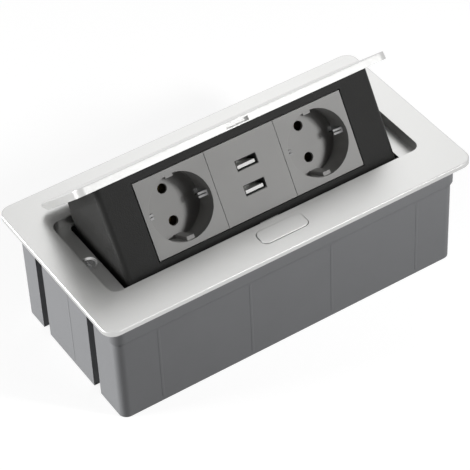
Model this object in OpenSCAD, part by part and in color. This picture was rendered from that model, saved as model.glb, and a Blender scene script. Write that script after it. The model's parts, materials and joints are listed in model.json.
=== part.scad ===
// In-desk power module with a flip-up socket unit, modelled with the lid standing open.
// Origin: centre of the flange outline, at the level of the housing floor. +X long side, +Y back, +Z up.
// Inside the shape modules z = 0 is the flat top of the flange.

/* [Flange] */
// Flange length along X
flange_w = 240; // [234:1:250]
// Flange depth along Y
flange_d = 120; // [118:0.5:126]
// Flange thickness
flange_t = 3; // [2.6:0.1:3.6]
// Plan radius of the flange corners
flange_r = 7.5; // [5:0.5:12]
// Radius along the top edge of the flange
edge_r = 0.8; // [0.4:0.1:1.2]
// Depth of the pocket under the flange that the housing sits in
seat_step = 0.5; // [0.3:0.1:1]

/* [Recess] */
// Width of the ledge at each end of the opening
ledge_w = 10.7; // [9.6:0.1:12]
// Gap between the flip-up unit and each end of the opening
swing_gap = 2.3; // [1.8:0.1:3]
// Recess front edge, distance ahead of the origin
recess_front = 34.2; // [33.8:0.1:34.8]
// Recess back edge, distance behind the origin
recess_back = 32.5; // [32.5:0.1:33.2]
// Depth of the ledge below the flange top
ledge_z = 6.5; // [6:0.1:7]
// Thickness of recess walls and ledge
cast_wall = 2; // [1.8:0.1:2.2]
// Plan radius of the recess corners
recess_r = 5.5; // [4:0.5:7]

/* [Housing] */
// Housing length along X
housing_w = 224; // [222:0.5:226]
// Room from each end of the recess to the end face of the housing
end_room = 10.3; // [9.5:0.1:13]
// Front face of the housing, distance ahead of the origin
housing_front = 52.4; // [52:0.1:53]
// Back face of the housing, distance behind the origin
housing_back = 53.5; // [53:0.1:54.5]
// Depth of the housing below the flange top
housing_h = 75.6; // [74:0.2:90]
// Housing wall thickness
wall = 2; // [1.6:0.1:2.4]
// Plan radius of the housing corners
housing_r = 5; // [4:0.5:7]
// Depth of the collar below the flange top
collar_h = 18; // [14:0.5:22]
// How far the collar stands out
collar_out = 1.3; // [0.8:0.1:1.6]
// Width of the end channels
channel_w = 7.2; // [6:0.2:8]
// Depth of the end channels
channel_d = 8; // [5:0.5:9]
// Cable hole radius in the back wall
cable_hole_r = 8; // [6:0.5:9]

/* [Flip-up unit] */
// Opening angle of the lid
open_angle = 43.5; // [42:0.5:43.5]
// Lean of the socket face from upright when shut
face_lean = 11.4; // [10.5:0.1:12]
// Overhang of the lid ahead of the socket face
lid_overhang = 6; // [5.6:0.1:6.6]
// Lid thickness
lid_t = 4.6; // [4.2:0.1:4.8]
// Gap round the lid in the recess
lid_gap = 0.9; // [0.7:0.1:1.2]
// Distance from the lid down to the foot of the socket face
face_len = 56.2; // [55.4:0.1:56.4]
// Body shell thickness
shell = 2.5; // [2:0.1:2.8]

/* [Modules] */
// Module pitch, width and height
module_size = 45; // [44:0.5:45.5]
// Distance from the lid underside to the module top, along the face
module_drop = 5.24; // [4.8:0.1:5.6]
// Socket recess radius
socket_r = 19.3; // [18.8:0.1:19.6]
// Socket recess depth
socket_depth = 17.5; // [16:0.5:18]
// Distance between the two pin holes
pin_pitch = 19; // [18.8:0.1:19.2]
// Pin hole radius
pin_hole_r = 2.9; // [2.6:0.05:3]
// Charging port width inside its shell
port_w = 12.5; // [12:0.1:13]
// Charging port height inside its shell
port_h = 5.1; // [4.5:0.1:5.2]
// Distance between the port centres
port_pitch = 14.6; // [13:0.2:16]

/* [Button] */
// Button length
button_w = 30; // [26:0.5:32]
// Button depth
button_d = 11; // [10:0.2:11.2]
// Plan radius of the button corners
button_r = 3.6; // [2.5:0.1:4.5]
// Button travel
button_travel = 2; // [1.5:0.1:2.2]

/* [Hidden] */
eps = 0.01;
fit = 0.05;
recess_w = housing_w - 2 * end_room;
opening_w = recess_w - 2 * ledge_w;
body_w = opening_w - 2 * swing_gap;
// hinge line
hinge_y = recess_back + 11.8;
hinge_z = -15.5;
pin_r = 2.5;
peg_angle = 205;
lug_in = body_w / 2 + 1.7;
lug_t = 4;
pocket_out = collar_out + 0.4;
recess_y = (recess_back - recess_front) / 2;
recess_d = recess_front + recess_back;
opening_front = recess_front - 2.7;
opening_back = recess_back - 1.5;
ledge_bottom = -ledge_z - cast_wall;
boss_x = (recess_w / 2 + opening_w / 2) / 2;
boss_top = ledge_bottom - 1.5;
house_d = housing_front + housing_back;
house_y = (housing_back - housing_front) / 2;
under_z = -flange_t + seat_step;
channel_y = [-24.6, 31.3];
rib_x = [26 - housing_w / 2, -27, 27, housing_w / 2 - 26];
line_out = 0.08;
channel_top = ledge_bottom - wall - 0.5;
line_w = 1.4;
cable_x = housing_w / 2 - 52;
cable_z = -housing_h + 17.6;
lid_w = recess_w - 2 * lid_gap;
lid_front = -recess_front + lid_gap;
lid_back = recess_back - lid_gap - 0.4;
lid_r = recess_r - 0.5;
lid_edge = 0.6;
slot_w = 14.5;
slot_low = -3.8;
slot_high = -1.5;
face_top_y = lid_front + lid_overhang;
face_mid = module_drop + module_size / 2;
face_y = face_top_y + face_mid * sin(face_lean);
face_z = -lid_t - face_mid * cos(face_lean);
foot_y = face_top_y + face_len * sin(face_lean);
foot_z = -lid_t - face_len * cos(face_lean);
rear_y = recess_back - 8.5;
rear_in = rear_y - shell;
half_in = body_w / 2 - shell;
module_t = 2.5;
module_gap = 0.15;
window_gap = 0.5;
lip_t = 1.5;
cup_wall = 1.6;
cup_floor = 2;
cup_back = -socket_depth - cup_floor;
contact_out = 3.5;
contact_in = 2.45;
contact_set = 9;
boss_r = contact_out + fit + 1.4;
boss_back = cup_back - 14;
port_wall = 0.35;
port_len = 14;
port_front = -0.3;
board_t = 1.6;
board_back = port_front - port_len - board_t;
board_w = 40;
board_h = 34;
post_x = 16;
post_r = 2.5;
clip_t = 0.8;
clip_nose = socket_r - 5.1;
clip_slit = 4.5;
clip_top = 4.5;
clip_w = 3.2;
pillar_x = half_in - 6.2;
pillar_z = [-24, -50];
pillar_r = 3.5;
pillar_len = 12;
screw_r = 1.5;
lid_screw_x = half_in - 11.2;
lid_screw_y = [-18, 10];
button_y = -(recess_front + cast_wall + housing_front - wall) / 2 - 1.3;
button_gap = 0.3;
button_top = 0.6;
button_rim = 1.6;
strip_y = -recess_front - 4.2;
strip_t = 0.6;
mount_x = [-38, -31];
mount_z = -7.8;
clamp_x = 32;
clamp_y = 14;
clamp_half = 7;
cord_r = 4;

// rounded rectangle centred on the origin
module plan(w, d, r) {
    square([w - 2 * r, d], center = true);
    square([w, d - 2 * r], center = true);
    for (x = [-1, 1], y = [-1, 1])
        translate([x * (w / 2 - r), y * (d / 2 - r)])
            circle(r = r, $fn = 40);
}

module block(w, d, r, low, high) {
    translate([0, 0, low])
        linear_extrude(high - low)
            plan(w, d, r);
}

// plate with a rounded top edge, its top at z = high
module soft_plate(w, d, r, e, low, high) {
    block(w, d, r, low, high - e);
    block(w - 2 * e, d - 2 * e, r - e, low, high);
    for (x = [-1, 1], y = [-1, 1])
        translate([x * (w / 2 - r), y * (d / 2 - r), high - e])
            rotate_extrude($fn = 40)
                translate([r - e, 0])
                    intersection() {
                        circle(r = e, $fn = 24);
                        translate([0, -e])
                            square([e, 2 * e]);
                    }
    for (y = [-1, 1])
        translate([0, y * (d / 2 - e), high - e])
            rotate([0, 90, 0])
                cylinder(r = e, h = w - 2 * r, center = true, $fn = 24);
    for (x = [-1, 1])
        translate([x * (w / 2 - e), 0, high - e])
            rotate([90, 0, 0])
                cylinder(r = e, h = d - 2 * r, center = true, $fn = 24);
}

// lifts the model so that the housing floor is at z = 0
module raise() {
    translate([0, 0, housing_h])
        children();
}

// turns the flip-up unit about the hinge line, 0 is shut
module turn(angle = -open_angle) {
    translate([0, hinge_y, hinge_z])
        rotate([angle, 0, 0])
            translate([0, -hinge_y, -hinge_z])
                children();
}

module swing() {
    raise()
        turn()
            children();
}

// local axes of the socket face: X along the row, Y up the face, Z out of it
module on_face() {
    translate([0, face_y, face_z])
        rotate([90 + face_lean, 0, 0])
            children();
}

// extrudes a Y-Z outline along X
module along_x(x0, x1) {
    translate([x0, 0, 0])
        rotate([90, 0, 90])
            linear_extrude(x1 - x0)
                children();
}

function polar(r, a) = [hinge_y + r * cos(a), hinge_z + r * sin(a)];

module cross_slot(r, depth) {
    for (a = [0, 90])
        rotate([0, 0, a])
            translate([-r, -r * 0.19, -depth])
                cube([2 * r, r * 0.38, depth + 1]);
}

// pan head screw pointing down from z = 0
module pan_screw(r, len, head_r, head_h) {
    difference() {
        union() {
            translate([0, 0, -len])
                cylinder(r = r, h = len, $fn = 24);
            cylinder(r = head_r, h = head_h, $fn = 32);
        }
        translate([0, 0, head_h])
            cross_slot(head_r * 0.6, head_h * 0.6);
    }
}

module frame() {
    raise()
        frame_shape();
}

module frame_shape() {
    color("silver")
        difference() {
            union() {
                difference() {
                    soft_plate(flange_w, flange_d, flange_r, edge_r, -flange_t, 0);
                    translate([0, house_y, 0])
                        block(housing_w + 2 * pocket_out, house_d + 2 * pocket_out, housing_r + pocket_out,
                            -flange_t - 1, under_z);
                }
                translate([0, recess_y, 0])
                    block(recess_w + 2 * cast_wall, recess_d + 2 * cast_wall, recess_r + cast_wall,
                        ledge_bottom, -1);
                for (x = [-1, 1])
                    translate([x * boss_x, 0, boss_top])
                        cylinder(r = 5, h = ledge_bottom - boss_top + 1, $fn = 40);
                for (x = [-1, 1])
                    hinge_lug(x);
                translate([mount_x[0] - 4, strip_y, -12])
                    cube([mount_x[1] - mount_x[0] + 8, -strip_y - recess_front - 1, 11]);
            }
            translate([0, recess_y, 0])
                block(recess_w, recess_d, recess_r, -ledge_z, 1);
            translate([0, (opening_back - opening_front) / 2, 0])
                block(opening_w, opening_front + opening_back, 3, ledge_bottom - 1, 1);
            for (x = [-1, 1])
                translate([x * boss_x, 0, -ledge_z])
                    ledge_sink();
            translate([0, button_y, 0])
                block(button_w + 2 * button_gap, button_d + 2 * button_gap, button_r + button_gap, -flange_t - 1, 1);
            translate([-7.3, strip_y - 1.4, -flange_t - 1.2])
                cube([14.6, -strip_y - recess_front + 2, 3.0]);
            for (x = mount_x)
                translate([x, strip_y - 1, mount_z])
                    rotate([-90, 0, 0])
                        cylinder(r = 1.2 + fit, h = 4.6, $fn = 24);
        }
    color("silver")
        for (x = [-60, 60])
            translate([x - 4, -recess_front - eps, -ledge_z - eps])
                cube([8, 2.5, ledge_z - lid_t - 0.1]);
}

module ledge_sink() {
    translate([0, 0, -2.4])
        cylinder(r1 = 2.1, r2 = 4.5, h = 2.4 + eps, $fn = 40);
    translate([0, 0, -8])
        cylinder(r = 2.1, h = 8, $fn = 32);
}

module hinge_lug(side) {
    mirror([side < 0 ? 1 : 0, 0, 0])
        translate([lug_in, 0, 0])
            difference() {
                translate([0, hinge_y - 5.5, hinge_z - 5])
                    cube([lug_t, 11, -hinge_z + 5 - 1]);
                translate([-1, hinge_y, hinge_z])
                    rotate([0, 90, 0])
                        cylinder(r = pin_r + 0.02, h = lug_t + 2, $fn = 40);
            }
}

module housing() {
    raise()
        housing_shape();
}

module housing_shape() {
    color([0.42, 0.43, 0.44])
        difference() {
            union() {
                translate([0, house_y, 0])
                    housing_outer();
                for (x = rib_x)
                    translate([x - line_w / 2, -housing_front - line_out, -housing_h + 3])
                        cube([line_w, 1, housing_h - collar_h - 6]);
                for (x = [-1, 1])
                    translate([x * (housing_w / 2 + line_out - 0.5) - 0.5, -line_w / 2, -housing_h + 3])
                        cube([1, line_w, housing_h - collar_h - 6]);
            }
            translate([0, house_y, 0])
                block(housing_w - 2 * wall, house_d - 2 * wall, housing_r - wall, -housing_h + wall, 1);
            for (x = [-1, 1], y = channel_y)
                end_channel(x, y, housing_w / 2 - channel_d);
            translate([cable_x, housing_back + 1, cable_z])
                rotate([90, 0, 0])
                    cylinder(r = cable_hole_r, h = wall + 2, $fn = 48);
        }
    color([0.42, 0.43, 0.44])
        for (x = [-1, 1])
            housing_end(x);
}

// room of a channel that is open to the end and at its foot
module end_channel(side, y, reach) {
    mirror([side < 0 ? 1 : 0, 0, 0])
        translate([reach, y - channel_w / 2, -housing_h - 1])
            cube([housing_w / 2 - reach + collar_out + 1, channel_w, housing_h + 1 + channel_top]);
}

module housing_outer() {
    block(housing_w, house_d, housing_r, -housing_h, under_z);
    block(housing_w + 2 * collar_out, house_d + 2 * collar_out, housing_r + collar_out, -collar_h, under_z);
    block(housing_w + collar_out, house_d + collar_out, housing_r + collar_out / 2, -collar_h - 1.4, under_z);
}

// channel walls and screw tower at one end
module housing_end(side) {
    inner = housing_w / 2 - wall + eps;
    reach = housing_w / 2 - channel_d - wall;
    mirror([side < 0 ? 1 : 0, 0, 0]) {
        for (y = channel_y)
            difference() {
                translate([reach, y - channel_w / 2 - wall, -housing_h + eps])
                    cube([inner - reach, channel_w + 2 * wall, housing_h + channel_top + wall]);
                end_channel(1, y, reach + wall);
            }
        difference() {
            union() {
                translate([boss_x, 0, -housing_h + 1])
                    cylinder(r = 4.5, h = housing_h - 1 + boss_top, $fn = 40);
                translate([boss_x, -1.2, -housing_h + 1])
                    cube([inner - boss_x, 2.4, housing_h - 1 + boss_top]);
            }
            translate([boss_x, 0, boss_top - 18])
                cylinder(r = 2 + fit, h = 19, $fn = 32);
        }
    }
}

module ledge_screws() {
    raise()
        ledge_screws_shape();
}

module ledge_screws_shape() {
    color("silver")
        for (x = [-1, 1])
            translate([x * boss_x, 0, -ledge_z])
                difference() {
                    union() {
                        translate([0, 0, -2.35])
                            cylinder(r1 = 2, r2 = 3.4, h = 1.4, $fn = 40);
                        translate([0, 0, -18])
                            cylinder(r = 2, h = 16, $fn = 32);
                    }
                    translate([0, 0, -0.95])
                        cross_slot(2.2, 1.2);
                }
}

module push_button() {
    raise()
        push_button_shape();
}

module push_button_shape() {
    color("silver")
        translate([0, button_y, 0]) {
            soft_plate(button_w, button_d, button_r, 0.5, under_z - button_rim, button_top);
            translate([-button_w / 2 - 2, 0.5 - button_d / 2, under_z - button_rim])
                cube([button_w + 4, button_d - 1, button_rim]);
        }
    color("silver")
        along_x(10, 16)
            polygon([[strip_y - 4.6, under_z - button_rim], [strip_y - 0.8, under_z - button_rim], [strip_y + 0.8, -9.5],
                [strip_y + 1.5, -9.5], [strip_y + 1.5, -flange_t - 0.4], [strip_y - 4.6, -flange_t - 0.4]]);
}

module latch_strip() {
    raise()
        latch_strip_shape();
}

module latch_strip_shape() {
    color("silver") {
        translate([mount_x[0] - 4, strip_y - strip_t, -11])
            difference() {
                cube([mount_x[1] - mount_x[0] + 8, strip_t, 6.4]);
                for (x = mount_x)
                    translate([x - mount_x[0] + 4, -1, mount_z + 11])
                        rotate([-90, 0, 0])
                            cylinder(r = 1.3, h = 3, $fn = 24);
            }
        translate([mount_x[1] + 3, strip_y - strip_t, -11])
            cube([45, strip_t, 3.6]);
        translate([-6, strip_y - strip_t, -8])
            cube([12, strip_t, 5.8]);
        translate([-6, strip_y - strip_t, -3])
            cube([12, 7.4, 0.8]);
    }
}

module latch_screws() {
    raise()
        latch_screws_shape();
}

module latch_screws_shape() {
    color("silver")
        for (x = mount_x)
            translate([x, strip_y - strip_t, mount_z])
                rotate([90, 0, 0])
                    pan_screw(1.2, 4, 2.2, 1.3);
}

module lid() {
    color("silver")
        swing()
            difference() {
                translate([0, (lid_front + lid_back) / 2, 0])
                    soft_plate(lid_w, lid_back - lid_front, lid_r, lid_edge, -lid_t, 0);
                along_x(-lid_w, lid_w)
                    polygon([[lid_back - 12.6, -lid_t - 1], [lid_back - 12.6, -lid_t], [lid_back + 1, -0.5], [lid_back + 1, -lid_t - 1]]);
                translate([-slot_w / 2, lid_front - 1, slot_low])
                    cube([slot_w, 4, slot_high - slot_low]);
                for (x = [-1, 1], y = lid_screw_y)
                    translate([x * lid_screw_x, y, -lid_t - 1])
                        cylinder(r = screw_r + fit, h = 4.4, $fn = 24);
            }
}

module lid_screws() {
    color("silver")
        swing()
            for (x = [-1, 1], y = lid_screw_y)
                translate([x * lid_screw_x, y, -lid_t - shell])
                    rotate([180, 0, 0])
                        pan_screw(screw_r, 5.6, 2.8, 1.8);
}

// outline of the shell in Y-Z, unit shut
module body_outline(inset = 0) {
    polygon([
        [face_top_y + inset * 1.02, -lid_t],
        [foot_y + inset * 1.02, foot_z],
        [rear_y, foot_z],
        [rear_y, hinge_z - 2.5],
        [rear_y - 0.6, hinge_z + 2.5],
        [rear_y - 4.6, -lid_t]
    ]);
}

// arm from the shell back to the hinge
module arm_outline() {
    polygon([
        [rear_y - 2, -44],
        [rear_y - 2, -21.9],
        polar(20.35, 197),
        polar(11.4, 197),
        [hinge_y - 5.2, hinge_z - 2],
        [hinge_y, hinge_z - 5.9],
        [hinge_y - 4, hinge_z - 12]
    ]);
    translate([hinge_y, hinge_z])
        circle(r = 6, $fn = 40);
}

module flipper_body() {
    color([0.16, 0.16, 0.17])
        swing() {
            difference() {
                intersection() {
                    along_x(-body_w / 2, body_w / 2)
                        body_outline();
                    on_face()
                        rotate([90, 0, 0])
                            linear_extrude(2 * face_len + 8, center = true)
                                translate([0, -40])
                                    plan(body_w, 80, 3);
                }
                along_x(-half_in, half_in)
                    difference() {
                        body_outline(shell);
                        translate([-face_len, -lid_t - shell])
                            square([2 * face_len, 20]);
                    }
                along_x(-half_in, half_in)
                    polygon([[foot_y + shell, foot_z - 1], [foot_y + shell, foot_z + shell], [rear_in - 4, foot_z + shell],
                        [rear_in - 4, -lid_t + 1], [60, -lid_t + 1], [60, foot_z - 1]]);
                on_face() {
                    translate([-1.5 * module_size - window_gap, -module_size / 2 - window_gap, -module_t])
                        cube([3 * module_size + 2 * window_gap, module_size + 2 * window_gap, 10]);
                }
                for (x = [-1, 1], y = lid_screw_y)
                    translate([x * lid_screw_x, y, -lid_t - shell - 1])
                        cylinder(r = screw_r + 0.1, h = 6, $fn = 24);
            }
            body_lip();
            body_top();
            for (x = [-1, 1], z = pillar_z)
                pillar(x * pillar_x, z);
            for (x = [-1, 1])
                hinge_arm(x);
        }
}

// rim behind the window that the modules sit on
module body_lip() {
    on_face()
        difference() {
            translate([-1.5 * module_size - 4, -module_size / 2 - 3.5, -module_t - lip_t])
                cube([3 * module_size + 8, module_size + 7, lip_t]);
            translate([-1.5 * module_size + 1.5, -module_size / 2 + 1.5, -module_t - lip_t - 1])
                cube([3 * module_size - 3, module_size - 3, lip_t + 2]);
        }
}

// top panel that carries the lid
module body_top() {
    difference() {
        along_x(-half_in - eps, half_in + eps)
            polygon([[face_top_y + 1, -lid_t], [face_top_y + 1, -lid_t - shell], [rear_in - 4, -lid_t - shell], [rear_in - 4, -lid_t]]);
        for (x = [-1, 1], y = lid_screw_y)
            translate([x * lid_screw_x, y, -lid_t - shell - 1])
                cylinder(r = screw_r + 0.1, h = 6, $fn = 24);
    }
}

// screw pillar for the back cover, joined to the side wall by a web
module pillar(x, z) {
    difference() {
        union() {
            translate([x, rear_in - pillar_len, z])
                rotate([-90, 0, 0])
                    cylinder(r = pillar_r, h = pillar_len, $fn = 32);
            translate([x > 0 ? x : -half_in - 0.5, rear_in - pillar_len, z - 1])
                cube([half_in + 0.5 - abs(x), pillar_len, 2]);
        }
        translate([x, rear_in - 10, z])
            rotate([-90, 0, 0])
                cylinder(r = screw_r + fit, h = 12, $fn = 24);
    }
}

module hinge_arm(side) {
    mirror([side < 0 ? 1 : 0, 0, 0]) {
        difference() {
            union() {
                along_x(half_in, body_w / 2)
                    arm_outline();
                translate([half_in, hinge_y, hinge_z])
                    rotate([0, 90, 0])
                        cylinder(r = 5, h = shell + 1.4, $fn = 40);
            }
            translate([half_in - 1, hinge_y, hinge_z])
                rotate([0, 90, 0])
                    cylinder(r = pin_r + 0.06, h = shell + 4, $fn = 40);
        }
        translate([half_in - 6, polar(16, peg_angle)[0], polar(16, peg_angle)[1]])
            rotate([0, 90, 0])
                cylinder(r = 1.2, h = 7, $fn = 24);
    }
}

module back_cover() {
    color([0.18, 0.18, 0.19])
        swing()
            difference() {
                along_x(-half_in, half_in)
                    polygon([
                        [foot_y + shell, foot_z], [rear_y, foot_z], [rear_y, hinge_z - 2.5],
                        [rear_y - 0.6, hinge_z + 2.5], [rear_y - 4.6 + 0.62 * shell, -lid_t - shell],
                        [rear_in - 4, -lid_t - shell], [rear_in - 0.6, hinge_z + 2.5],
                        [rear_in, hinge_z - 2.5], [rear_in, foot_z + shell], [foot_y + shell, foot_z + shell]
                    ]);
                for (x = [-1, 1], z = pillar_z)
                    translate([x * pillar_x, rear_in - 1, z])
                        rotate([-90, 0, 0])
                            cylinder(r = screw_r + 0.1, h = shell + 3, $fn = 24);
                translate([clamp_x, rear_in - 1, foot_z + shell + cord_r + 0.6])
                    rotate([-90, 0, 0])
                        cylinder(r = cord_r + 0.6, h = shell + 3, $fn = 32);
                for (s = [-1, 1])
                    translate([clamp_x + s * clamp_half, clamp_y, foot_z - 1])
                        cylinder(r = 1.2 + fit, h = shell + 3, $fn = 24);
            }
}

module cover_screws() {
    color("silver")
        swing()
            for (x = [-1, 1], z = pillar_z)
                translate([x * pillar_x, rear_y, z])
                    rotate([-90, 0, 0])
                        pan_screw(screw_r, 10, 2.8, 1.8);
}

module socket_insert(cx) {
    outer = socket_r + cup_wall;
    translate([cx, 0, 0])
        difference() {
            union() {
                translate([-module_size / 2 + module_gap, -module_size / 2, -module_t])
                    cube([module_size - 2 * module_gap, module_size, module_t]);
                translate([0, 0, cup_back])
                    cylinder(r = outer, h = -cup_back - eps, $fn = 72);
            }
            difference() {
                translate([0, 0, -socket_depth])
                    cylinder(r = socket_r, h = socket_depth + 1, $fn = 72);
                for (y = [-1, 1])
                    translate([-2.3, y * socket_r - 2.2, -socket_depth - 1])
                        cube([4.6, 4.4, socket_depth - 1.2]);
            }
            for (y = [-1, 1])
                translate([0, y * pin_pitch / 2, cup_back - 1])
                    cylinder(r = pin_hole_r, h = cup_floor + 2, $fn = 32);
            for (x = [-1, 1])
                translate([x * 19 - 2.1, -clip_w / 2 - 0.3, cup_back - 1])
                    cube([4.2, clip_w + 0.6, -cup_back + 1 - clip_top]);
        }
}

// block behind the cup that holds its two contacts and presses the earth strap on the cup floor
module socket_base(cx) {
    color([0.12, 0.12, 0.12])
        swing()
            on_face()
                translate([cx, 0, 0])
                    difference() {
                        union() {
                            translate([-4, -pin_pitch / 2, cup_back - clip_t - 4])
                                cube([8, pin_pitch, 4]);
                            for (y = [-1, 1])
                                translate([0, y * pin_pitch / 2, boss_back])
                                    cylinder(r = boss_r, h = cup_back - boss_back, $fn = 32);
                        }
                        for (y = [-1, 1])
                            translate([0, y * pin_pitch / 2, boss_back - 1])
                                cylinder(r = contact_out + fit, h = cup_back - boss_back + 2, $fn = 32);
                    }
}

module socket_base_left() {
    socket_base(-module_size);
}

module socket_base_right() {
    socket_base(module_size);
}

module socket_left() {
    color([0.55, 0.56, 0.57])
        swing()
            on_face()
                socket_insert(-module_size);
}

module socket_right() {
    color([0.55, 0.56, 0.57])
        swing()
            on_face()
                socket_insert(module_size);
}

// earth strap behind the cup floor with a spring nose on each side
module earth_strap() {
    reach = socket_r + 0.6 + clip_t;
    half = [
        [0, cup_back - clip_t], [reach, cup_back - clip_t], [reach, -clip_top - 0.5], [clip_nose, -clip_top - 2],
        [clip_nose + 0.5, -clip_top - 3.8], [clip_nose + 1.3, -clip_top - 3.6], [clip_nose + 1.1, -clip_top - 2.7],
        [reach - clip_t, -clip_top - 1.4], [reach - clip_t, cup_back], [0, cup_back]
    ];
    difference() {
        rotate([90, 0, 0])
            linear_extrude(clip_w, center = true)
                polygon(concat(half, [for (i = [len(half) - 2 : -1 : 1]) [-half[i][0], half[i][1]]]));
        for (x = [-1, 1])
            translate([x * clip_nose - (x > 0 ? 1 : clip_slit), -0.3, -clip_top - 5])
                cube([clip_slit + 1, 0.6, 5]);
    }
}

module earth_clip_left() {
    color("silver")
        swing()
            on_face()
                translate([-module_size, 0, 0])
                    earth_strap();
}

module earth_clip_right() {
    color("silver")
        swing()
            on_face()
                translate([module_size, 0, 0])
                    earth_strap();
}

// split sleeve with a terminal block behind it
module contact(cx, cy) {
    swing()
        on_face()
            translate([cx, cy, 0]) {
                difference() {
                    translate([0, 0, boss_back - 1])
                        cylinder(r = contact_out, h = cup_back - boss_back + 1 - contact_set, $fn = 32);
                    translate([0, 0, boss_back + 1])
                        cylinder(r = contact_in, h = 20, $fn = 32);
                    translate([-0.4, -5, boss_back + 3])
                        cube([0.8, 10, 20]);
                }
                difference() {
                    translate([-3, -3, boss_back - 6])
                        cube([6, 6, 5.5]);
                    translate([0, 0, boss_back - 4])
                        rotate([0, 90, 0])
                            cylinder(r = 1.3, h = 8, center = true, $fn = 20);
                }
            }
}

module live_contact_left() {
    color("gold")
        contact(-module_size, pin_pitch / 2);
}

module neutral_contact_left() {
    color("gold")
        contact(-module_size, -pin_pitch / 2);
}

module live_contact_right() {
    color("gold")
        contact(module_size, pin_pitch / 2);
}

module neutral_contact_right() {
    color("gold")
        contact(module_size, -pin_pitch / 2);
}

module usb_plate() {
    color([0.55, 0.56, 0.57])
        swing()
            on_face() {
                difference() {
                    translate([-module_size / 2 + module_gap, -module_size / 2, -module_t])
                        cube([module_size - 2 * module_gap, module_size, module_t]);
                    for (y = [-1, 1])
                        translate([0, y * port_pitch / 2, -module_t / 2])
                            cube([port_w + 2 * port_wall + 0.4, port_h + 2 * port_wall + 0.4, module_t + 1], center = true);
                }
                for (x = [-1, 1], y = [-1, 1])
                    translate([x * post_x, y * 13, 0]) {
                        translate([0, 0, board_back + board_t])
                            cylinder(r = post_r, h = -board_back - board_t - module_t + eps, $fn = 24);
                        translate([0, 0, board_back - 0.8])
                            cylinder(r = 1.2, h = board_t + 1.8, $fn = 24);
                    }
            }
}

module usb_board() {
    color([0.1, 0.35, 0.2])
        swing()
            on_face()
                difference() {
                    translate([-board_w / 2, -board_h / 2, board_back])
                        cube([board_w, board_h, board_t]);
                    for (x = [-1, 1], y = [-1, 1])
                        translate([x * post_x, y * 13, board_back - 1])
                            cylinder(r = 1.2 + fit, h = board_t + 2, $fn = 24);
                }
}

module port_shell(cy) {
    color("silver")
        swing()
            on_face()
                translate([0, cy, port_front - port_len])
                    difference() {
                        translate([-port_w / 2 - port_wall, -port_h / 2 - port_wall, 0])
                            cube([port_w + 2 * port_wall, port_h + 2 * port_wall, port_len]);
                        translate([-port_w / 2, -port_h / 2, port_wall])
                            cube([port_w, port_h, port_len]);
                    }
}

module port_tongue(cy) {
    color("white")
        swing()
            on_face()
                translate([0, cy - 1.2, port_front - port_len + port_wall]) {
                    translate([-5.6, -0.95, 0])
                        cube([11.2, 1.9, port_len - port_wall - 1.2]);
                    translate([-port_w / 2 + 0.1, -1.15, 0])
                        cube([port_w - 0.2, port_h - 0.2, 2]);
                }
}

module usb_port_upper() {
    port_shell(port_pitch / 2);
}

module usb_port_lower() {
    port_shell(-port_pitch / 2);
}

module usb_tongue_upper() {
    port_tongue(port_pitch / 2);
}

module usb_tongue_lower() {
    port_tongue(-port_pitch / 2);
}

module usb_transformer() {
    color([0.75, 0.6, 0.2])
        swing()
            on_face() {
                translate([-8, -7, board_back - 12])
                    difference() {
                        cube([16, 14, 12]);
                        translate([-1, 3, 2])
                            cube([2.5, 8, 8]);
                        translate([14.5, 3, 2])
                            cube([2.5, 8, 8]);
                    }
            }
}

module hinge_pin(side) {
    mirror([side < 0 ? 1 : 0, 0, 0])
        translate([half_in - 7.4, hinge_y, hinge_z])
            rotate([0, 90, 0]) {
                cylinder(r = pin_r, h = lug_in + lug_t - half_in + 7.4 + eps, $fn = 40);
                translate([0, 0, lug_in + lug_t - half_in + 7.4])
                    cylinder(r = 3.5, h = 1.2, $fn = 40);
            }
}

module hinge_pin_left() {
    color("silver")
        raise()
            hinge_pin(-1);
}

module hinge_pin_right() {
    color("silver")
        raise()
            hinge_pin(1);
}

// coil of ring turns about the pin, one leg under the flange, one under the peg of the arm
module torsion_spring(side) {
    coil_step = 1.06;
    leg_end = polar(18.5, 209.6);
    leg_start = polar(3.6, 270);
    mirror([side < 0 ? 1 : 0, 0, 0]) {
        for (i = [0 : 4])
            translate([half_in - 5.6 + i * coil_step, hinge_y, hinge_z])
                rotate([0, 90, 0])
                    rotate_extrude($fn = 32)
                        translate([3.6, 0])
                            circle(r = 0.55, $fn = 16);
        translate([half_in - 5.6, hinge_y + 3.6, hinge_z])
            cylinder(r = 0.5, h = -hinge_z + under_z, $fn = 16);
        turn()
            translate([half_in - 5.6 + 4 * coil_step, leg_start[0], leg_start[1]])
                rotate([atan2(leg_end[1] - leg_start[1], leg_end[0] - leg_start[0]) - 90, 0, 0])
                    cylinder(r = 0.5, h = norm(leg_end - leg_start), $fn = 16);
    }
}

module torsion_spring_left() {
    color("silver")
        raise()
            torsion_spring(-1);
}

module torsion_spring_right() {
    color("silver")
        raise()
            torsion_spring(1);
}

module terminal_block() {
    color([0.85, 0.85, 0.82])
        swing()
            translate([-18, 5, foot_z + shell])
                difference() {
                    cube([32, 13, 12]);
                    for (i = [0 : 2])
                        translate([6 + 10 * i, 6.5, 5]) {
                            cylinder(r = 2, h = 8, $fn = 24);
                            rotate([90, 0, 0])
                                cylinder(r = 2.2, h = 20, center = true, $fn = 24);
                        }
                    for (i = [0 : 1])
                        translate([10.5 + 10 * i, -1, 6])
                            cube([1, 15, 7]);
                }
}

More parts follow.
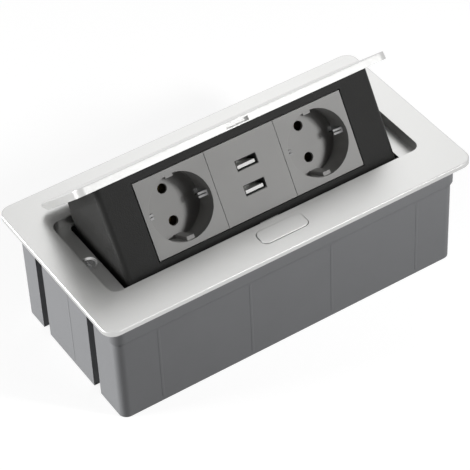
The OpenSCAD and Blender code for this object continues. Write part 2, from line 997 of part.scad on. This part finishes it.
module cord_clamp() {
    color([0.85, 0.85, 0.82])
        swing()
            translate([clamp_x, clamp_y, foot_z + shell])
                difference() {
                    translate([-10, -4, 0])
                        cube([20, 8, 9.5]);
                    rotate([90, 0, 0])
                        translate([0, cord_r, 0])
                            cylinder(r = cord_r, h = 20, center = true, $fn = 32);
                    translate([-cord_r, -10, -1])
                        cube([2 * cord_r, 20, cord_r + 1]);
                    for (s = [-1, 1])
                        translate([s * clamp_half, 0, -1])
                            cylinder(r = 1.2 + fit, h = 12, $fn = 24);
                }
}

module clamp_screws() {
    color("silver")
        swing()
            for (s = [-1, 1])
                translate([clamp_x + s * clamp_half, clamp_y, foot_z + shell + 9.5])
                    pan_screw(1.2, 11.5, 2.3, 1.5);
}

module cable_grommet() {
    raise()
        cable_grommet_shape();
}

module cable_grommet_shape() {
    color([0.1, 0.1, 0.1])
        translate([cable_x, housing_back, cable_z])
            rotate([-90, 0, 0])
                difference() {
                    union() {
                        cylinder(r = cable_hole_r + 2.5, h = 2, $fn = 48);
                        translate([0, 0, -wall])
                            cylinder(r = cable_hole_r, h = wall + 1, $fn = 48);
                        translate([0, 0, -wall - 1.8])
                            cylinder(r = cable_hole_r + 1.5, h = 1.8, $fn = 48);
                    }
                    translate([0, 0, -wall - 3])
                        cylinder(r = cord_r + 0.5, h = 10, $fn = 32);
                }
}

frame();
housing();
ledge_screws();
push_button();
latch_strip();
latch_screws();
lid();
lid_screws();
flipper_body();
back_cover();
cover_screws();
socket_left();
socket_right();
usb_plate();
earth_clip_left();
earth_clip_right();
socket_base_left();
socket_base_right();
live_contact_left();
neutral_contact_left();
live_contact_right();
neutral_contact_right();
usb_board();
usb_port_upper();
usb_port_lower();
usb_tongue_upper();
usb_tongue_lower();
usb_transformer();
hinge_pin_left();
hinge_pin_right();
torsion_spring_left();
torsion_spring_right();
terminal_block();
cord_clamp();
clamp_screws();
cable_grommet();
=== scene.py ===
"""In-desk power module with its flip-up socket unit open: materials, light and camera round the CAD frame.

Lengths are in metres. The CAD pieces keep their place and their mesh and get a finished material each.
"""

import json
import math

import bpy
from mathutils import Matrix, Vector


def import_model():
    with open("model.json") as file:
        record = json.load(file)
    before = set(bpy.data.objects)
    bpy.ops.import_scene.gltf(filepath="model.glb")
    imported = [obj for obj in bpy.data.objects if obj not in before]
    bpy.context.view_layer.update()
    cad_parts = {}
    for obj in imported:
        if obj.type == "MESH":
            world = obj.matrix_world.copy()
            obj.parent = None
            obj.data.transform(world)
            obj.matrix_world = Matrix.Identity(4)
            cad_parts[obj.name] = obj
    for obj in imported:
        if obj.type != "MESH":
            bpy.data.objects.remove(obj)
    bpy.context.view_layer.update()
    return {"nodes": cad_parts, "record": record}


# The camera as fitted to the photo: angles in degrees, lens and sensor in millimetres.
CAMERA_AT = (-0.4754, -0.7715, 0.8809)
CAMERA_AZIMUTH = -31.48
CAMERA_ELEVATION = 42.95
CAMERA_ROLL = -2.89
CAMERA_LENS = 166.9
CAMERA_SENSOR = 36.0
CAMERA_NEAR = 0.05
CAMERA_FAR = 20.0

# The ground lies just under the part. Its glow and the lamps on it add up to the photo's white.
FLOOR_SIZE = 6.0
FLOOR_DROP = 0.0005
FLOOR_GLOW = 0.82
FLOOR_COLOR = (0.3, 0.3, 0.3)
WHITE = (1.0, 1.0, 1.0)

# Strength of the surround: as a light on matte surfaces, and as the eye and reflections see it.
AMBIENT = 0.02
SEEN_WHITE = 1.0

# Each lamp looks at AIM: direction from there, distance, side of the square and level.
AIM = Vector((0, 0, 0.07))
KEY_LAMP = ("key", (0.45, -0.70, 0.56), 0.7, 0.10, 0.6)
OTHER_LAMPS = (
    ("sheen", (0.40, -0.80, 0.48), 1.2, 0.3, 0.15),
    ("left", (-1.0, 0.5, 0.18), 1.5, 0.7, 1.52),
    ("top", (0.42, 0.62, 0.66), 1.1, 0.5, 0.05),
)

# Noise that every finish shares: wide soft patches for tone and gloss, and a fine grain.
PATCH_SCALE = 35.0
PATCH_DETAIL = 4.0
PATCH_LOW = 0.3
PATCH_HIGH = 0.7
GRAIN_DETAIL = 2.0
GRAIN_HEIGHT = 0.0004
EDGE_SAMPLES = 6
IOR = 1.5

# Sockets of the Mix node when it mixes colours; their names also belong to its other modes.
MIX_FACTOR, MIX_FIRST, MIX_SECOND, MIX_RESULT = 0, 6, 7, 2

# One finish for each material slot of the record.
FINISHES = {
    "satin_metal": dict(
        color=(0.605, 0.605, 0.597), rough=0.36, edge=0.0003, metallic=1.0,
        spread=0.01, tint=0.985, grain=1600, depth=0.12,
    ),
    "grey_housing": dict(
        color=(0.222, 0.225, 0.232), rough=0.6, edge=0.0004, grain=1500, depth=0.12, specular=0.15,
    ),
    "screw_steel": dict(color=(0.62, 0.62, 0.62), rough=0.28, edge=0.00015, metallic=1.0, depth=0.05),
    "spring_steel": dict(color=(0.3, 0.3, 0.3), rough=0.42, edge=0.00015, metallic=1.0, depth=0.05),
    "black_plastic": dict(
        color=(0.014, 0.014, 0.0135), rough=0.45, edge=0.0004, grain=1400, depth=0.4, specular=0.21,
    ),
    "module_grey": dict(
        color=(0.36, 0.357, 0.351), rough=0.6, edge=0.0002, grain=1800, depth=0.06, specular=0.04,
    ),
    # Contact brass set far darker than bare brass so the pin holes read black: painted shade.
    "contact_brass": dict(color=(0.25, 0.19, 0.09), rough=0.4, edge=0.0001, metallic=1.0),
    "board_green": dict(color=(0.02, 0.12, 0.05), rough=0.35, edge=0.0001),
    # Port shells near black: partly a dark plated finish, partly painted shade that makes the openings read
    # dark.
    "port_steel": dict(color=(0.03, 0.03, 0.03), rough=0.5, edge=0.0001, metallic=1.0),
    "white_plastic": dict(color=(0.9, 0.9, 0.88), rough=0.4, edge=0.0001),
    "core_tape": dict(color=(0.60, 0.45, 0.08), rough=0.35, edge=0.0002),
    "pin_steel": dict(color=(0.55, 0.55, 0.55), rough=0.25, edge=0.0001, metallic=1.0),
    "black_rubber": dict(color=(0.02, 0.02, 0.02), rough=0.7, edge=0.0003),
}


def rgba(color):
    return (*color, 1.0)


class Build:
    """A material's node tree with short calls to add nodes to it."""

    def __init__(self, name):
        self.mat = bpy.data.materials.new(name)
        self.mat.use_nodes = True
        self.tree = self.mat.node_tree
        self.tree.nodes.clear()
        self.out = self.tree.nodes.new("ShaderNodeOutputMaterial")

    def add(self, kind, inputs, **props):
        """A node of this kind; an input is a value or the socket that feeds it."""
        made = self.tree.nodes.new(kind)
        for key, value in props.items():
            setattr(made, key, value)
        for key, value in inputs.items():
            if isinstance(value, bpy.types.NodeSocket):
                self.link(value, made.inputs[key])
            else:
                made.inputs[key].default_value = value
        return made

    def link(self, source, target):
        self.tree.links.new(source, target)


def mix_color(b, factor, first, second):
    inputs = {MIX_FACTOR: factor, MIX_FIRST: rgba(first), MIX_SECOND: rgba(second)}
    return b.add("ShaderNodeMix", inputs, data_type="RGBA").outputs[MIX_RESULT]


def ranged(b, patches, low, high):
    """The patches' middle range spread out from low to high."""
    inputs = {"Value": patches, "From Min": PATCH_LOW, "From Max": PATCH_HIGH, "To Min": low, "To Max": high}
    return b.add("ShaderNodeMapRange", inputs).outputs[0]


def noise(b, scale, detail):
    place = b.add("ShaderNodeTexCoord", {}).outputs["Object"]
    return b.add("ShaderNodeTexNoise", {"Vector": place, "Scale": scale, "Detail": detail}).outputs["Fac"]


def surface(name, color, rough, edge, metallic=0.0, specular=0.5, spread=0.05, tint=0.94,
            grain=900, depth=0.02):
    """A finish: colour with slight variation, uneven gloss, fine grain and softened edges."""
    b = Build(name)
    patches = noise(b, PATCH_SCALE, PATCH_DETAIL)
    fine = noise(b, grain, GRAIN_DETAIL)
    dark = tuple(part * tint for part in color)
    shade = b.add("ShaderNodeBsdfPrincipled", {
        "Base Color": mix_color(b, ranged(b, patches, 0, 1), dark, color),
        "Roughness": ranged(b, patches, rough - spread, rough + spread),
        "Metallic": metallic,
        "IOR": IOR,
        "Specular IOR Level": specular,
    })
    soft = b.add("ShaderNodeBevel", {"Radius": edge}, samples=EDGE_SAMPLES).outputs[0]
    bump = b.add("ShaderNodeBump", {
        "Height": fine,
        "Strength": depth,
        "Distance": GRAIN_HEIGHT,
        "Normal": soft,
    })
    b.link(bump.outputs[0], shade.inputs["Normal"])
    b.link(shade.outputs[0], b.out.inputs["Surface"])
    return b.mat


def dress(frame):
    """Each CAD node gets the finish that the record's material slot names."""
    made = {name: surface(name, **finish) for name, finish in FINISHES.items()}
    slots = {row["node"]: row["material_slot"] for row in frame["record"]["subparts"]}
    for name, obj in frame["nodes"].items():
        obj.data.materials.clear()
        obj.data.materials.append(made[slots[name]])


def camera_turn():
    """The camera's axes from its azimuth, elevation and roll."""
    az, el, roll = (math.radians(v) for v in (CAMERA_AZIMUTH, CAMERA_ELEVATION, CAMERA_ROLL))
    back = Vector((math.sin(az) * math.cos(el), -math.cos(az) * math.cos(el), math.sin(el)))
    right = (-back).cross(Vector((0, 0, 1))).normalized()
    up = right.cross(-back)
    side = right * math.cos(roll) + up * math.sin(roll)
    head = up * math.cos(roll) - right * math.sin(roll)
    return Matrix((side, head, back)).transposed().to_4x4()


def camera():
    data = bpy.data.cameras.new("camera")
    data.lens = CAMERA_LENS
    data.sensor_width = CAMERA_SENSOR
    data.clip_start = CAMERA_NEAR
    data.clip_end = CAMERA_FAR
    obj = bpy.data.objects.new("camera", data)
    bpy.context.scene.collection.objects.link(obj)
    obj.matrix_world = Matrix.Translation(Vector(CAMERA_AT)) @ camera_turn()
    bpy.context.scene.camera = obj


def lamp(name, way, distance, size, level):
    """A square area lamp that looks at the object; level 1 lights a facing white card to white."""
    data = bpy.data.lights.new(name, "AREA")
    data.shape = "SQUARE"
    data.size = size
    data.energy = level * math.pi ** 2 * distance ** 2
    obj = bpy.data.objects.new(name, data)
    bpy.context.scene.collection.objects.link(obj)
    obj.location = AIM + Vector(way).normalized() * distance
    obj.rotation_mode = "QUATERNION"
    obj.rotation_quaternion = Vector(way).to_track_quat("Z", "Y")
    return obj


def seen_rays(tree):
    """1 for camera, glossy and transmission rays, which see the plain white surround."""
    path = tree.nodes.new("ShaderNodeLightPath")
    total = path.outputs["Is Camera Ray"]
    for name in ("Is Glossy Ray", "Is Transmission Ray"):
        most = tree.nodes.new("ShaderNodeMath")
        most.operation = "MAXIMUM"
        tree.links.new(total, most.inputs[0])
        tree.links.new(path.outputs[name], most.inputs[1])
        total = most.outputs[0]
    return total


def surround():
    """White to the eye and in reflections, and dimmer as a light."""
    world = bpy.data.worlds.new("world")
    world.use_nodes = True
    tree = world.node_tree
    tree.nodes.clear()
    out = tree.nodes.new("ShaderNodeOutputWorld")
    mix = tree.nodes.new("ShaderNodeMixShader")
    tree.links.new(seen_rays(tree), mix.inputs[0])
    for index, strength in ((1, AMBIENT), (2, SEEN_WHITE)):
        plain = tree.nodes.new("ShaderNodeBackground")
        plain.inputs["Color"].default_value = rgba(WHITE)
        plain.inputs["Strength"].default_value = strength
        tree.links.new(plain.outputs[0], mix.inputs[index])
    tree.links.new(mix.outputs[0], out.inputs["Surface"])
    bpy.context.scene.world = world


def lights():
    """The key's mirror image would lie on the lid's front band, so reflections leave it out."""
    lamp(*KEY_LAMP).visible_glossy = False
    for row in OTHER_LAMPS:
        lamp(*row)
    surround()


def floor():
    """A white ground that the camera sees as plain white apart from the object's shadow."""
    half = FLOOR_SIZE / 2
    corners = [(x * half, y * half, -FLOOR_DROP) for x, y in ((-1, -1), (1, -1), (1, 1), (-1, 1))]
    mesh = bpy.data.meshes.new("floor")
    mesh.from_pydata(corners, [], [(0, 1, 2, 3)])
    obj = bpy.data.objects.new("floor", mesh)
    bpy.context.scene.collection.objects.link(obj)
    b = Build("floor_white")
    matte = b.add("ShaderNodeBsdfDiffuse", {"Color": rgba(FLOOR_COLOR)})
    level = b.add("ShaderNodeMath", {0: seen_rays(b.tree), 1: FLOOR_GLOW}, operation="MULTIPLY")
    glow = b.add("ShaderNodeEmission", {"Color": rgba(WHITE), "Strength": level.outputs[0]})
    both = b.add("ShaderNodeAddShader", {0: matte.outputs[0], 1: glow.outputs[0]})
    b.link(both.outputs[0], b.out.inputs["Surface"])
    mesh.materials.append(b.mat)


def main():
    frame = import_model()
    scene = bpy.context.scene
    scene.view_settings.view_transform = "Standard"
    dress(frame)
    camera()
    lights()
    floor()


main()
